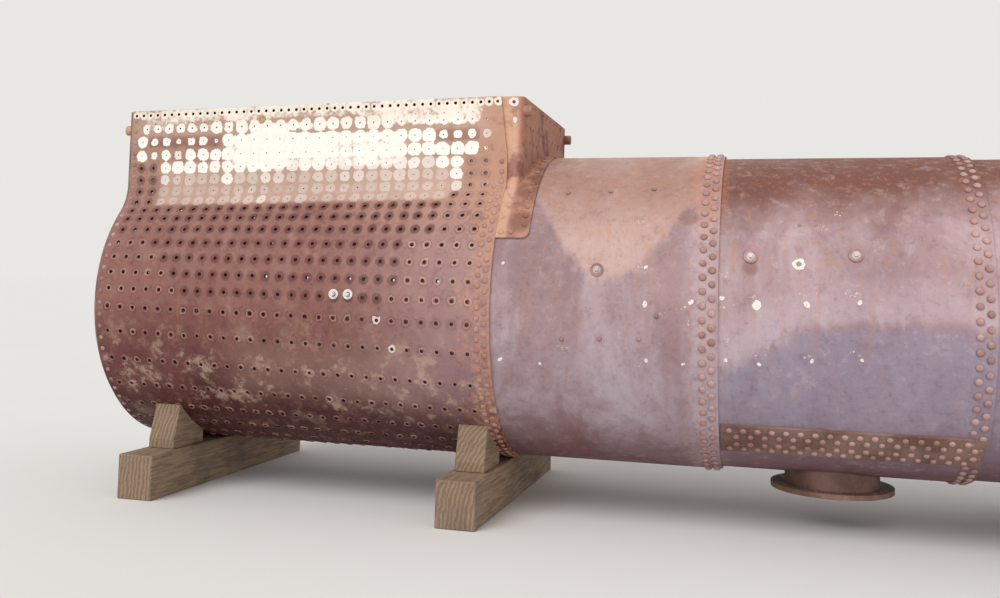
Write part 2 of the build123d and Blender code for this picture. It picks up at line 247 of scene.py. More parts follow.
def rust_base(n):
    """Plate colour: lighter near the ring as painted light and lighter near the front edge, dark maroon low
    down as painted shade, streaked.
    """
    broad = n.noise(1.3, 5, 0.6)
    fine = n.noise(26, 6, 0.65)
    blotch = n.noise(7, 5, 0.7)
    streak = n.noise(3, 5, 0.6, stretch=(6, 6, 0.5))
    level = n.over + (broad - 0.5) * 0.7
    # Painted light and shade by height: lighter towards the ring as painted light, darker and then maroon
    # towards the bottom as painted shade.
    n.colour = n.mix(level.ramp(0.45, 1.15), MAUVE, MAUVE_PAINTED_LIGHT)
    n.coat(level.ramp(-0.5, 0.1, 1, 0), DARK_PATCH_AND_SHADE)
    n.coat(level.ramp(-0.82, -0.45, 0.97, 0), MAROON)
    n.coat(blotch.ramp(0.48, 0.7, 0, 0.3), DARK_PATCH_AND_SHADE)
    n.coat(fine.ramp(0.48, 0.78, 0, 0.4), MAROON)
    n.coat(streak.ramp(0.55, 0.75, 0, 0.3), ORANGE)
    ahead = n.along + (blotch - 0.5) * 0.8 - WRAPPER_FRONT
    front = ahead.ramp(-1.3, -0.05, 0, 0.55) * n.over.ramp(-0.95, -0.45)
    n.coat(front, n.mix(n.over.ramp(0.1, 0.9), LILAC, RUSTY_FRONT))
    edge = (ahead + streak * 0.05).ramp(-0.2, -0.06)
    n.coat(edge * fine.ramp(0.4, 0.58, 0.05, 0.6), RUSTY_EDGE)
    return fine


def mottled(n, light, dark):
    """Pitted, patchy rust over a plate's colour, from hand-sized patches down to pits."""
    patches = n.noise(11, 8, 0.78)
    n.coat(patches.ramp(0.52, 0.66, 0, 0.38), dark)
    n.coat(patches.ramp(0.34, 0.48, 0.3, 0), light)


def pitted(n, fine):
    """Height of a plate's surface, for its bump."""
    pits = n.add("TexVoronoi", "Distance", (("Scale", 60), ("Vector", n.position)))
    return pits.ramp(0, 0.35) * 0.35 + fine * 0.8


def stayed_plate():
    """Firebox plate: stays ground white and painted round above, dirty open holes below."""
    n = Nodes("stayed_plate")
    fine = rust_base(n)
    mottled(n, (0.4, 0.225, 0.175), (0.095, 0.028, 0.026))
    scuffs = n.noise(4.5, 9, 0.76)
    n.coat(scuffs.ramp(0.56, 0.68, 0, 0.4), (0.37, 0.215, 0.17))
    n.coat(scuffs.ramp(0.32, 0.44, 0.35, 0), (0.12, 0.038, 0.036))
    aside, down, haze = n.attribute("cell_place")
    disc_radius, dirt, rim = n.attribute("cell_tone")
    band, strength, painted_sun_and_dust = n.attribute("cell_look")
    radius = n.math("SQRT", aside * aside + down * down)
    square = n.math("MAXIMUM", abs(aside), abs(down))
    corner = n.noise(7, 2).ramp(0.44, 0.66, 0, 0.6)
    wander = (n.noise(15, 2) - 0.5) * 0.036 + (n.noise(52, 4, 0.6) - 0.5) * 0.02
    ragged = radius + corner * (square - radius) + wander
    n.coat(dirt * (radius + wander * 0.6).ramp(0.024, 0.043, 0.82, 0), STAIN)
    n.coat(band * (abs(down) + wander).ramp(0.03, 0.052, 0.42, 0), DARK_PATCH_AND_SHADE)
    # A pale salmon ring at each hole's lip, as strong as rim says: part rust tint, part painted highlight on
    # the burr.
    ring = ragged.ramp(0.0145, 0.0175) * ragged.ramp(0.0235, 0.0275, 1, 0)
    n.coat(ring * rim, RIM)
    patchy = n.noise(9, 6, 0.7)
    smudged = n.over.ramp(-0.9, -0.64, 0.22, 1) * n.over.ramp(-0.5, -0.15, 1, 0.2)
    n.coat(n.noise(6.5, 6, 0.72).ramp(0.52, 0.66, 0, 0.6) * smudged, (0.56, 0.4, 0.31))
    # Pinkish painted sunlight over the upper sheet, ending in a line under the sixth stay row, and a faint
    # dust strip lower down.
    n.coat(painted_sun_and_dust * (patchy + fine * 0.3).ramp(0.4, 0.78, 0.72, 1), PAINTED_SUN_AND_DUST)
    strip = n.over.ramp(1.21, 1.29, 0.1, 0.55)
    white = n.mix(n.math("MAXIMUM", strip, fine.ramp(0.35, 0.8, 0, 0.6)), PALE, CREAM)
    frayed = patchy * 0.62 + n.noise(38, 5, 0.7) * 0.38
    n.coat((haze + frayed).ramp(0.96, 1.14), white)
    n.coat((ragged - disc_radius).ramp(-0.003, 0.002, 1, 0) * strength, white)
    # Near-black painted onto each bore and the hole's middle: painted shade of the deep hole.
    n.coat(radius.ramp(0.0015, 0.0035, 0.9, 0), PAINTED_BORE_SHADE)
    return n.finish(fine.ramp(0.3, 0.7, 0.5, 0.78), pitted(n, fine), 0.0012, shine=0.3)


def on_round(x, radius, degrees, far=False):
    """Point on a cylinder about the barrel's axis, at an angle over the axis, and its normal."""
    angle = math.radians(degrees)
    normal = Vector((0, math.cos(angle) if far else -math.cos(angle), math.sin(angle)))
    return Vector((x, 0, AXIS_HEIGHT)) + normal * radius, normal


def on_barrel(along, degrees, far=False):
    """Point on the barrel's outside, in metres along from the first stay column, and its normal."""
    x = COLUMN_0 + along
    radius = BARREL_RADIUS if x < SEAM_1 else MIDDLE_RADIUS if x < SEAM_2 else FRONT_RADIUS
    return on_round(x, radius, degrees, far)


# Dark stains on the barrel: metres along from the first stay column, degrees over the axis, size.
BARREL_STAINS = ((3.995, 33, 0.06), (4.35, 15.8, 0.045), (4.36, 14.8, 0.04))
TIDE_ALONG = 3.52
TIDE_HEIGHT = 0.19
TIDE_CURVE = 2.1
BLUE_LINE = -0.08


def barrel_plate():
    """Barrel plate: grey-purple with long smears. A tan tide mark hangs down the rear course; the
    middle course is rust brown and darkened along its top in a painted shadow band, pale in a painted
    reflection band just over a line below the axis, and bluish under that line. All courses darken towards
    the bottom as painted shade."""
    n = Nodes("barrel_plate")
    broad = n.noise(1.1, 5, 0.6)
    fine = n.noise(24, 6, 0.65)
    smear = n.noise(1.6, 6, 0.62, stretch=(2, 2, 0.4), distortion=0.5)
    streak = n.noise(3.4, 5, 0.6, stretch=(7, 7, 0.45))
    level = n.over + (broad - 0.5) * 0.6
    frayed = n.over + (smear - 0.5) * 0.22
    n.colour = n.mix(broad.ramp(0.35, 0.68), (0.34, 0.215, 0.222), (0.25, 0.158, 0.17))
    n.coat(smear.ramp(0.42, 0.68, 0, 0.6), (0.45, 0.345, 0.37))
    n.coat(level.ramp(-0.45, 0.1, 0.75, 0), n.mix(smear.ramp(0.35, 0.65), (0.27, 0.18, 0.2), BLUISH))
    ahead = n.along.ramp(SEAM_1 - 0.001, SEAM_1 + 0.001)
    behind = n.along.ramp(SEAM_1 - 0.001, SEAM_1 + 0.001, 1, 0)
    aside = n.along - (COLUMN_0 + TIDE_ALONG)
    tide = frayed - aside * aside * TIDE_CURVE
    tan = n.mix(n.over.ramp(0.35, 0.85), (0.51, 0.335, 0.285), (0.345, 0.185, 0.13))
    n.coat(tide.ramp(TIDE_HEIGHT - 0.03, TIDE_HEIGHT + 0.07, 0, 0.8) * behind, tan)
    fall = (n.along + broad * 0.4).ramp(COLUMN_0 + 4.35, COLUMN_0 + 4.9, 0.24, 0)
    line = n.over + fall + (smear - 0.5) * 0.3
    # A pale band just over the blue line: painted reflection at mid height.
    glow = line.ramp(BLUE_LINE, BLUE_LINE + 0.07) * line.ramp(0.02, 0.3, 0.42, 0)
    n.coat(glow * ahead, (0.5, 0.395, 0.44))
    n.coat(line.ramp(BLUE_LINE - 0.04, BLUE_LINE + 0.04, 0.72, 0) * ahead, (0.235, 0.195, 0.265))
    # Rust brown darkening along the middle course's top: a painted shadow band.
    n.coat(level.ramp(0.46, 0.8, 0, 0.93) * ahead, (0.14, 0.042, 0.023))
    # Darker towards the bottom: painted shade.
    n.coat(level.ramp(-1, -0.55, 0.8, 0), DARK_PATCH_AND_SHADE)
    n.coat(streak.ramp(0.5, 0.72, 0, 0.42) * n.over.ramp(-0.35, 0.25, 0.35, 1), (0.4, 0.19, 0.11))
    off_seam = abs(n.along - (SEAM_1 - 0.08)) + streak * 0.16
    near_seam = off_seam.ramp(0.09, 0.24, 0.5, 0) * frayed.ramp(0.36, 0.66, 0.9, 1.6)
    seam_rust = n.mix(frayed.ramp(0.36, 0.66), (0.6, 0.46, 0.47), (0.48, 0.215, 0.12))
    n.coat(near_seam * fine.ramp(0.35, 0.6, 0.35, 1), seam_rust)
    for along, degrees, size in BARREL_STAINS:
        n.stain(on_barrel(along, degrees)[0], size, smear, 0.7, (0.23, 0.125, 0.115))
    n.coat(fine.ramp(0.5, 0.8, 0, 0.35), (0.11, 0.045, 0.04))
    mottled(n, (0.52, 0.395, 0.395), (0.165, 0.098, 0.11))
    return n.finish(smear.ramp(0.4, 0.7, 0.7, 0.5), pitted(n, fine), 0.0016, shine=0.4)


def plain_rust(name, light, dark, orange_share, bump=0.0012):
    """Rough rusted steel for flanges, rings, straps and rivets."""
    n = Nodes(name)
    broad = n.noise(4, 5, 0.6)
    fine = n.noise(45, 6, 0.7)
    n.colour = n.mix(broad.ramp(0.35, 0.65), light, dark)
    n.coat(fine.ramp(0.5, 0.72, 0, orange_share), ORANGE)
    return n.finish(fine.ramp(0.3, 0.7, 0.62, 0.84), fine + broad, bump)


# Dark stains on the throat sheet's skirt, given like the barrel's.
THROAT_STAINS = ((2.945, 45, 0.085), (2.935, 30.5, 0.08), (2.7, 40, 0.035))


def throat_plate():
    """Flanged throat sheet: tan-orange rust with dark stains hanging in patches; its forward face is painted
    darker than its flange as painted shade.
    """
    n = Nodes("throat_plate")
    fine = n.noise(45, 6, 0.7)
    broad = n.noise(4.2, 5, 0.62)
    runs = n.noise(5, 5, 0.6, stretch=(3, 3, 0.6))
    # The forward face gets darker tones than the side flange: painted shade on the face.
    face = (n.along + broad * 0.04).ramp(THROAT_FACE - 0.03, THROAT_FACE + 0.01)
    light = n.mix(face, (0.6, 0.355, 0.245), (0.38, 0.18, 0.125))
    dark = n.mix(face, (0.33, 0.165, 0.13), (0.2, 0.085, 0.062))
    n.colour = n.mix(broad.ramp(0.5, 0.62), light, dark)
    n.coat(runs.ramp(0.54, 0.66, 0, 0.55) * face, dark)
    n.coat(fine.ramp(0.5, 0.72, 0, 0.45), ORANGE)
    n.coat((n.over + broad * 0.5).ramp(0.75, 1.05, 0.4, 0), (0.46, 0.26, 0.195))
    for along, degrees, size in THROAT_STAINS:
        n.stain(on_barrel(along, degrees)[0], size, broad, 0.75, dark)
    # A dark patch round each corner lug's foot on the throat: painted shade where the lug meets the plate.
    for side in (-1, 1):
        n.stain((COLUMN_0 + 2.945, side * 0.745, AXIS_HEIGHT + 1.285), 0.048, fine, 0.6, DARK_PATCH_AND_SHADE)
    mottled(n, (0.56, 0.36, 0.27), (0.13, 0.05, 0.042))
    return n.finish(fine.ramp(0.3, 0.7, 0.7, 0.92), fine + broad, 0.004, shine=0.3)


def even_finish(name, scale, low, light, dark, rough, bump=0, metallic=0, detail=3):
    """An even surface of two near tones: turned steel, dull brass or chalk."""
    n = Nodes(name)
    fine = n.noise(scale, detail)
    n.colour = n.mix(fine.ramp(low, 0.7), light, dark)
    return n.finish(fine.ramp(0.3, 0.7, *rough), fine if bump else None, bump, metallic)


def timber():
    """Old sawn sleepers: long grain on the sides, growth rings and checks on the ends."""
    n = Nodes("timber")
    grain = n.noise(9, 6, 0.6, stretch=(6, 0.5, 6), distortion=0.6)
    blotch = n.noise(3, 4)
    wave = [("Scale", 11), ("Distortion", 5), ("Detail", 3), ("Detail Scale", 1.6)]
    wave.append(("Vector", n.position))
    rings = n.add("TexWave", "Fac", wave, wave_type="RINGS", rings_direction="Y")
    end = abs(n.parts(n.add("NewGeometry", "Normal"))[1]).ramp(0.7, 0.9)
    sides = n.mix(grain.ramp(0.35, 0.68), (0.3, 0.205, 0.13), (0.17, 0.115, 0.075))
    ends = n.mix(rings.ramp(0.2, 0.85), (0.195, 0.13, 0.085), (0.285, 0.195, 0.125))
    n.colour = n.mix(end, sides, ends)
    n.coat(blotch.ramp(0.5, 0.72, 0, 0.5), (0.085, 0.062, 0.048))
    return n.finish(grain.ramp(0.3, 0.7, 0.72, 0.9), grain + rings * end * 0.5, 0.004)


RUSTS = {
    "flange": ((0.25, 0.15, 0.12), (0.13, 0.065, 0.05), 0.55, 0.0025),
    "rivet": ((0.45, 0.29, 0.27), (0.26, 0.14, 0.12), 0.45),
    "edge_rivet": ((0.48, 0.255, 0.185), (0.31, 0.15, 0.115), 0.45),
    "end_plate": ((0.27, 0.165, 0.14), (0.14, 0.07, 0.06), 0.4, 0.0016),
    "fitting": ((0.4, 0.245, 0.225), (0.21, 0.115, 0.105), 0.35),
    "plug_face": ((0.62, 0.54, 0.55), (0.43, 0.33, 0.33), 0.15),
}
EVEN_FINISHES = {
    "steel": ("turned_steel", 90, 0.3, (0.83, 0.82, 0.79), (0.66, 0.64, 0.61), (0.3, 0.48), 0.0003, 0.6),
    "brass": ("dull_brass", 70, 0.35, (0.52, 0.36, 0.17), (0.33, 0.2, 0.11), (0.4, 0.6), 0.0004, 0.5, 4),
    "chalk": ("chalk", 120, 0.35, (0.84, 0.8, 0.76), (0.58, 0.47, 0.43), (0.9, 0.9)),
    "old_chalk": ("old_chalk", 120, 0.35, (0.66, 0.52, 0.45), (0.45, 0.31, 0.28), (0.9, 0.9)),
}
MATERIALS = {name: plain_rust(name + "_rust", *finish) for name, finish in RUSTS.items()}
MATERIALS |= {name: even_finish(*finish) for name, finish in EVEN_FINISHES.items()}
MATERIALS |= {"stayed": stayed_plate(), "barrel": barrel_plate(), "throat": throat_plate()}
MATERIALS["timber"] = timber()


# Firebox section: a point and its outward normal at a girth measured down from the sheet's top edge


class Section:
    def __init__(self, crown, shoulder):
        self.crown = crown
        self.shoulder = shoulder
        self.drop = crown - CROWN_FRONT
        reach = crown + shoulder
        self.centre_y = SIDE_HALF + shoulder
        self.centre_z = math.sqrt(reach ** 2 - self.centre_y ** 2)
        self.turn = math.asin(self.centre_z / reach)
        self.side = GIRTH_DATUM - self.drop - self.centre_z
        self.bend = shoulder * self.turn
        self.girth = self.side + self.bend + crown * (self.turn + math.pi / 2)

    def at(self, s):
        """(y, z, normal y, normal z) on the near side, which has negative Y."""
        if s < self.side:
            y, z, angle = SIDE_HALF, GIRTH_DATUM - self.drop - s, 0
        elif s < self.side + self.bend:
            angle = (s - self.side) / self.shoulder
            y = self.centre_y - self.shoulder * math.cos(angle)
            z = self.centre_z - self.shoulder * math.sin(angle)
        else:
            angle = self.turn - (s - self.side - self.bend) / self.crown
            y, z = self.crown * math.cos(angle), self.crown * math.sin(angle)
        return -y, z + self.drop + AXIS_HEIGHT, -math.cos(angle), math.sin(angle)

    def half_width(self, height):
        """Half the section's width at a height over the axis."""
        z = height - self.drop
        if z > self.centre_z:
            return SIDE_HALF
        if z > self.crown * math.sin(self.turn):
            return self.centre_y - math.sqrt(self.shoulder ** 2 - (z - self.centre_z) ** 2)
        return math.sqrt(max(0, self.crown ** 2 - z ** 2))


def edge_height(x):
    """Height over the axis of the foundation ring's top, which falls a little to the rear."""
    return RING_HEIGHT_FRONT - RING_FALL * (WRAPPER_FRONT - x) / WRAPPER_LENGTH


def front_edge(s_front):
    """X of the sheet's front edge, which slants back towards the ring."""
    over = GIRTH_DATUM - s_front - (RING_HEIGHT_FRONT - FRONT_EDGE_SLANT)
    return WRAPPER_FRONT - FRONT_EDGE_SET_BACK * min(1, max(0, over / FRONT_EDGE_SLANT))


REAR_SECTION = Section(CROWN_REAR, SHOULDER_REAR)
FRONT_SECTION = Section(CROWN_FRONT, SHOULDER_FRONT)


def on_wrapper(x, s, height=0, far=False):
    """Point on the firebox sheet at x and a pair of girths, raised by height, and its normal."""
    start = WRAPPER_REAR + REAR_SEAT
    end = WRAPPER_FRONT - FRONT_SEAT
    share = min(1, max(0, (x - start) / (end - start)))
    rear, front = REAR_SECTION.at(s[0]), FRONT_SECTION.at(s[1])
    y, z, ny, nz = (rear[i] + (front[i] - rear[i]) * share for i in range(4))
    normal = Vector((0, -ny if far else ny, nz)).normalized()
    return Vector((x, -y if far else y, z)) + normal * height, normal


# Rows of holes, as girths down the sheet at its rear and at its front. The first stay row lies a
# little below the ring; rows draw together on the sides and spread over the crown. The steps from
# row to row are in millimetres.
REAR_STEPS = (100, 93, 88, 88, 84, 79, 80, 93, 103, 109, 111, 115, 128, 170, 201, 206, 196) + 4 * (182,)
FRONT_STEPS = (96, 88, 82, 80, 85, 88, 98, 108, 117, 121, 123, 125, 145, 187, 219, 208, 190) + 4 * (171,)
SMALL_ROW = (0.17, 0.142)
TOP_EDGE = (GIRTH_DATUM - RING_HEIGHT_FRONT + RING_FALL, GIRTH_DATUM - RING_HEIGHT_FRONT)
RING_ROW = (TOP_EDGE[0] + RING_HOLE_DROP, TOP_EDGE[1] + RING_HOLE_DROP)
STAY_ROWS = [(0.266, 0.24)]
for rear_step, front_step in zip(REAR_STEPS, FRONT_STEPS):
    STAY_ROWS.append((STAY_ROWS[-1][0] + rear_step / 1000, STAY_ROWS[-1][1] + front_step / 1000))
FIRST_CROWN_ROW = 14
TINY_ROW = (TOP_EDGE[0] + 0.098, TOP_EDGE[1] + 0.098)
TINY_COLUMNS = tuple(range(1, 8)) + tuple(range(21, 26))
SMALL_SHIFT = (0.033, 0.024, 0.016, 0.007, 0.003)
ROW_GIRTHS = [TOP_EDGE[0], RING_ROW[0], SMALL_ROW[0]] + [row[0] for row in STAY_ROWS]
RING_HOLES, SMALL_HOLES, TINY_HOLES = -2, -1, -3
NOWHERE = (-9, -9)
PATCH_STEPS = 4
EDGE_STEPS = 90
SMALLEST_PATCH = 0.004
SEGMENTS = 16
QUARTER = [4 * step / SEGMENTS for step in range(SEGMENTS // 4)]
OUTLINE = [(t, 0) for t in QUARTER] + [(1, t) for t in QUARTER]
OUTLINE += [(1 - t, 1) for t in QUARTER] + [(0, 1 - t) for t in QUARTER]


def span(low, high, value, soft):
    """1 between low and high, falling off softly outside."""
    return smooth_step(low - soft, low + soft, value) * (1 - smooth_step(high - soft, high + soft, value))


def cover_at(x, s):
    """How thickly white covers the plate there before noise frays it, and how thickly the thin
    pinkish coat of painted sunlight does, which lies round and below the white and stops under
    the sixth stay row, where the painted sunlit patch gives way to shade; a faint dust strip lies lower down."""
    column = (x - COLUMN_0) / STAY_PITCH
    row = float(np.interp(s, ROW_GIRTHS, range(-3, len(STAY_ROWS))))
    strip = (0.5 + 0.1 * span(2, 24, column, 2)) * span(-0.9, 26, column, 0.25)
    strip *= 1 - smooth_step(0.07, 0.125, s)
    above_discs = span(-2.3, -1.4, row, 0.2)
    under = 0.46 + 0.15 * span(18.5, 25.6, column, 1.5)
    under -= 0.1 * span(7, 16.5, column, 1) * (1 - above_discs)
    under += 0.1 * span(-0.4, 18.5, column, 0.5) * above_discs
    under *= span(-0.4, 25.8, column, 0.3) * span(-2.9, -0.6, row, 0.3)
    middle = 0.62 * span(8, 15.5, column, 1.5) * span(-1.3, -0.5, row, 0.3)
    core = 0.95 * span(7.9, 15.5, column, 0.9) * span(-0.45, 1.45, row, 0.22)
    peak = 0.95 * span(8.6, 11.8, column, 0.9) * span(-0.8, 2.3, row, 0.25)
    about = 0.6 * span(6.6, 20.6, column, 0.8) * span(-0.5, 2.35, row, 0.3)
    # low, high and mid lay the painted sunlight on the upper sheet; dust is a faint dust strip lower down.
    low = span(1.7, 24.3 - 0.25 * max(0, row - 3), column, 0.45) * span(1.6, 5.42, row, 0.16)
    low *= 0.8 - 0.1 * (row - 2) / 3
    high = 0.45 * span(-0.8, 26.3, column, 0.5) * (1 - smooth_step(-0.6, 0, row))
    mid = 0.75 * span(6.6, 22.4, column, 0.8) * span(-0.6, 2, row, 0.3)
    dust = 0.2 * span(9, 23, column, 2) * span(1.72, 2.12, s, 0.1)
    return max(strip, under, middle, core, peak, about), max(low, high, mid, dust)


def marks(disc=0, strength=0, dirt=0, rim=0, band=0):
    """A cell's finish: disc radius, dirt, rim light, dark band and disc strength."""
    return disc, dirt, rim, band, strength


PLAIN = marks()


def finish_of(row, column):
    """The finish of one hole's cell, counted from the rear and from the first stay row."""
    draw = random.random()
    wobble = random.uniform(-0.004, 0.004)
    if row == RING_HOLES:
        return marks(0.027 + wobble, 0.75 + 0.2 * draw)
    if row == SMALL_HOLES:
        radius = 0.043 if 5 < column < 20 else 0.034
        strength = 0.94 if column < 18 else 0.55 + 0.3 * draw
        return marks(radius + 1.5 * wobble if column < 26 else 0, strength)
    if row == 0:
        radius = 0.048 + wobble
        if column < 7:
            radius = (0.042, 0.026, 0.031, 0.016, 0.03, 0.031, 0.012)[column]
        elif column > 22:
            radius = 0.03
        band = max(span(0.4, 6.3, column, 0.4), span(22.7, 25.3, column, 0.4))
        return marks(radius, 1 if column < 26 else 0.45, band=band)
    if row == 1:
        radius = (0.04, 0.026, 0.04, 0.03)[column] if column < 4 else 0.048 + wobble
        return marks(radius if column < 26 else 0.012, 1 if column != 3 else 0.75)
    if row < 6 and not is_ground(row, column):
        if column > 24:
            return marks(dirt=0.35, rim=0.35 + 0.35 * draw)
        return marks(dirt=0.8, rim=0.15)
    if row == 2:
        strength = 0.97 if column < 11 else 0.45 + 0.45 * draw
        return marks(0.047 + wobble, 0.95 if column > 22 else strength)
    if row == 3:
        strength = 0.9 if column in (7, 24) else 0.22 + 0.33 * draw
        return marks((0.042 if column > 3 else 0.034) + wobble, 0.62 if column in (2, 10) else strength)
    if row <= 5:
        bright = (row, column) in ((4, 24), (5, 10))
        return marks(0.038 + 1.5 * wobble, 0.5 if bright else 0.08 + 0.2 * draw)
    if row < 9:
        dirt = 0.8 if 3 < column < 24 else 0.5
        return marks(dirt=dirt + 0.2 * draw, rim=0.25 + 0.35 * draw if column > 23 else 0)
    if row <= 12:
        if 3 + max(0, row - 9) <= column < 22 - (row == 12):
            return marks(dirt=0.75 + 0.25 * draw, rim=0.1 * draw)
        return marks(dirt=0.15 + 0.25 * draw, rim=(0.2 if column < 9 else 0.4) + 0.4 * draw)
    if row == 13:
        return marks(0.024 if column == 20 else 0, 0.6, 0.4 + 0.4 * draw, 0.15 + 0.45 * draw)
    marked = (row, column) == (14, 21)
    return marks(0.026 if marked else 0, 0.55, 0.45 * draw, 0.1 + 0.45 * draw)


def is_ground(row, column):
    """Whether the stay there is ground flush and shows only its small tell-tale hole."""
    return 0 <= row <= 5 and (row < 2 or 2 <= column <= 24 - max(0, row - 4))


def between(a, b, share=0.5):
    """Girths part of the way from one pair to another."""
    return tuple(a[k] + (b[k] - a[k]) * share for k in (0, 1))


def hole_profile(row, column):
    """(radius, height) from the plate to the bore, or None where the row has no hole."""
    if row == TINY_HOLES:
        return [(0.009, 0), (0.0042, -0.0004)] if column in TINY_COLUMNS else None
    if row == RING_HOLES:
        return [(0.019, 0), (0.018, -0.0004), (RING_HOLE_RADIUS, -0.0006)]
    if row == SMALL_HOLES:
        return [(0.016, 0), (0.012, -0.0006), (0.0062, -0.0006)]
    if is_ground(row, column):
        return [(0.02, 0), (0.016, -0.0005), (random.uniform(0.0034, 0.0046), -0.0005)]
    if row >= FIRST_CROWN_ROW:
        height = random.uniform(0.003, 0.007)
        return [(0.0225, 0), (0.0205, height), (random.uniform(0.011, 0.013), height - 0.001)]
    burr = random.uniform(0.0002, 0.0016)
    return [(0.027, 0), (0.0235, burr), (random.uniform(0.012, 0.0135), burr - 0.002)]


class SheetMesh:
    """Collects the hole cells and plain patches of one half of the firebox sheet."""

    def __init__(self, far):
        self.far = far
        self.verts = []
        self.faces = []
        self.cells = {"cell_place": [], "cell_tone": [], "cell_look": []}

    def loop(self, points, height, anchor):
        """Corners through a list of (x, girths): each is a vertex, its place about anchor (x, rear
        girth), and the plate's cover."""
        corners = []
        for x, s in points:
            held = min(x, front_edge(s[1]))
            cover = cover_at(held, s[0]) if height > -WRAPPER_PLATE / 2 else (0, 0)
            corners.append((len(self.verts), (x - anchor[0], s[0] - anchor[1]), cover))
            self.verts.append(on_wrapper(held, s, height, self.far)[0])
        return corners

    def face(self, corners, tone, flip=False):
        if flip != self.far:
            corners = corners[::-1]
        self.faces.append([vertex for vertex, _, _ in corners])
        for _, place, (haze, painted_sun_and_dust) in corners:
            self.cells["cell_place"].append((*place, haze))
            self.cells["cell_tone"].append(tone[:3])
            self.cells["cell_look"].append((*tone[3:], painted_sun_and_dust))

    def ring(self, first, second, tone):
        for i in range(SEGMENTS):
            j = (i + 1) % SEGMENTS
            self.face([first[i], first[j], second[j], second[i]], tone)

    def cell(self, x_range, s_range, centre, profile, tone, middle_s, anchor):
        """A patch of plate with a round hole: profile lists (radius, height) from rim to bore.
        The finish is centred on anchor (x, rear girth), or on the hole."""
        anchor = anchor or (centre, middle_s[0])
        rim = [(x_range[0] + (x_range[1] - x_range[0]) * u, between(*s_range, v)) for u, v in OUTLINE]
        loops = [self.loop(rim, 0, anchor)]
        for radius, height in profile + [(profile[-1][0], -WRAPPER_PLATE)]:
            bore = []
            for u, v in OUTLINE:
                angle = math.atan2(v - 0.5, u - 0.5)
                down = radius * math.sin(angle)
                bore.append((centre + radius * math.cos(angle), (middle_s[0] + down, middle_s[1] + down)))
            loops.append(self.loop(bore, height, anchor))
        for first, second in zip(loops[:-2], loops[1:-1]):
            self.ring(first, second, tone)
        bore = [[(vertex, (0, 0), cover) for vertex, _, cover in loop] for loop in loops[-2:]]
        self.ring(*bore, PLAIN)
        self.ring(loops[-1], self.loop(rim, -WRAPPER_PLATE, anchor), PLAIN)

    def patch(self, x_range, s_range, tone, anchor=None):
        """A plain patch of plate, both faces. The finish is centred on anchor (x, rear girth)."""
        for level, flip in ((0, False), (-WRAPPER_PLATE, True)):
            lines = []
            for step in range(PATCH_STEPS + 1):
                s = between(*s_range, step / PATCH_STEPS)
                lines.append(self.loop([(x, s) for x in x_range], level, anchor or NOWHERE))
            for upper, lower in zip(lines[:-1], lines[1:]):
                self.face([upper[0], upper[1], lower[1], lower[0]], tone, flip)

    def row_of_cells(self, row, s_range, middle_s, small_finish):
        first, pitch, count = REAR_MARGIN, STAY_PITCH, STAY_COLUMNS
        if row == RING_HOLES:
            first, pitch, count = RING_HOLE_FIRST, RING_HOLE_PITCH, RING_HOLE_COUNT
        left = WRAPPER_REAR + first - pitch / 2
        right = left + pitch * count
        about_small = row in (TINY_HOLES, SMALL_HOLES)
        self.patch((WRAPPER_REAR, left), s_range, PLAIN)
        for column in range(count):
            start = left + pitch * column
            profile = hole_profile(row, column)
            finish = small_finish[column] if about_small else finish_of(row, column)
            shift = SMALL_SHIFT[column] if about_small and column < len(SMALL_SHIFT) else 0
            middle = start + pitch / 2
            anchor = (middle + shift, SMALL_ROW[0]) if about_small else None
            if profile is None:
                self.patch((start, start + pitch), s_range, finish, anchor)
                continue
            if row == SMALL_HOLES:
                middle += shift
            self.cell((start, start + pitch), s_range, middle, profile, finish, middle_s, anchor)
        if right < front_edge(middle_s[1]) - SMALLEST_PATCH:
            self.patch((right, WRAPPER_FRONT), s_range, PLAIN)

    def edge_strip(self, points):
        """Closes the plate's edge along a list of (x, girths)."""
        outside, inside = (self.loop(points, level, NOWHERE) for level in (0, -WRAPPER_PLATE))
        for i in range(len(points) - 1):
            self.face([outside[i], inside[i], inside[i + 1], outside[i + 1]], PLAIN)


def half_sheet(name, far):
    sheet = SheetMesh(far)
    bottom = (REAR_SECTION.girth, FRONT_SECTION.girth)
    small_finish = [finish_of(SMALL_HOLES, column) for column in range(STAY_COLUMNS)]
    rows = [(RING_HOLES, RING_ROW), (TINY_HOLES, TINY_ROW), (SMALL_HOLES, SMALL_ROW), *enumerate(STAY_ROWS)]
    upper = TOP_EDGE
    for i, (row, middle_s) in enumerate(rows):
        lower = between(middle_s, rows[i + 1][1]) if i + 1 < len(rows) else bottom
        sheet.row_of_cells(row, (upper, lower), middle_s, small_finish)
        upper = lower
    girths = [between(TOP_EDGE, bottom, i / EDGE_STEPS) for i in range(EDGE_STEPS + 1)]
    sheet.edge_strip([(WRAPPER_REAR, s) for s in girths][::-1])
    sheet.edge_strip([(WRAPPER_FRONT, s) for s in girths])
    sheet.edge_strip([(WRAPPER_REAR, TOP_EDGE), (WRAPPER_FRONT, TOP_EDGE)])
    piece = mesh_piece(name, sheet.verts, sheet.faces, "stayed")
    for key, values in sheet.cells.items():
        layer = piece.data.attributes.new(key, "FLOAT_VECTOR", "CORNER")
        layer.data.foreach_set("vector", np.array(values, dtype=np.float32).ravel())
    sharpen(piece, 40)
    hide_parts("wrapper")


@contextmanager
def welded(mesh):
    """The mesh with its doubled corners joined, to be changed and put back."""
    bm = bmesh.new()
    bm.from_mesh(mesh)
    bmesh.ops.remove_doubles(bm, verts=bm.verts, dist=0.00002)
    yield bm
    bm.to_mesh(mesh)
    bm.free()


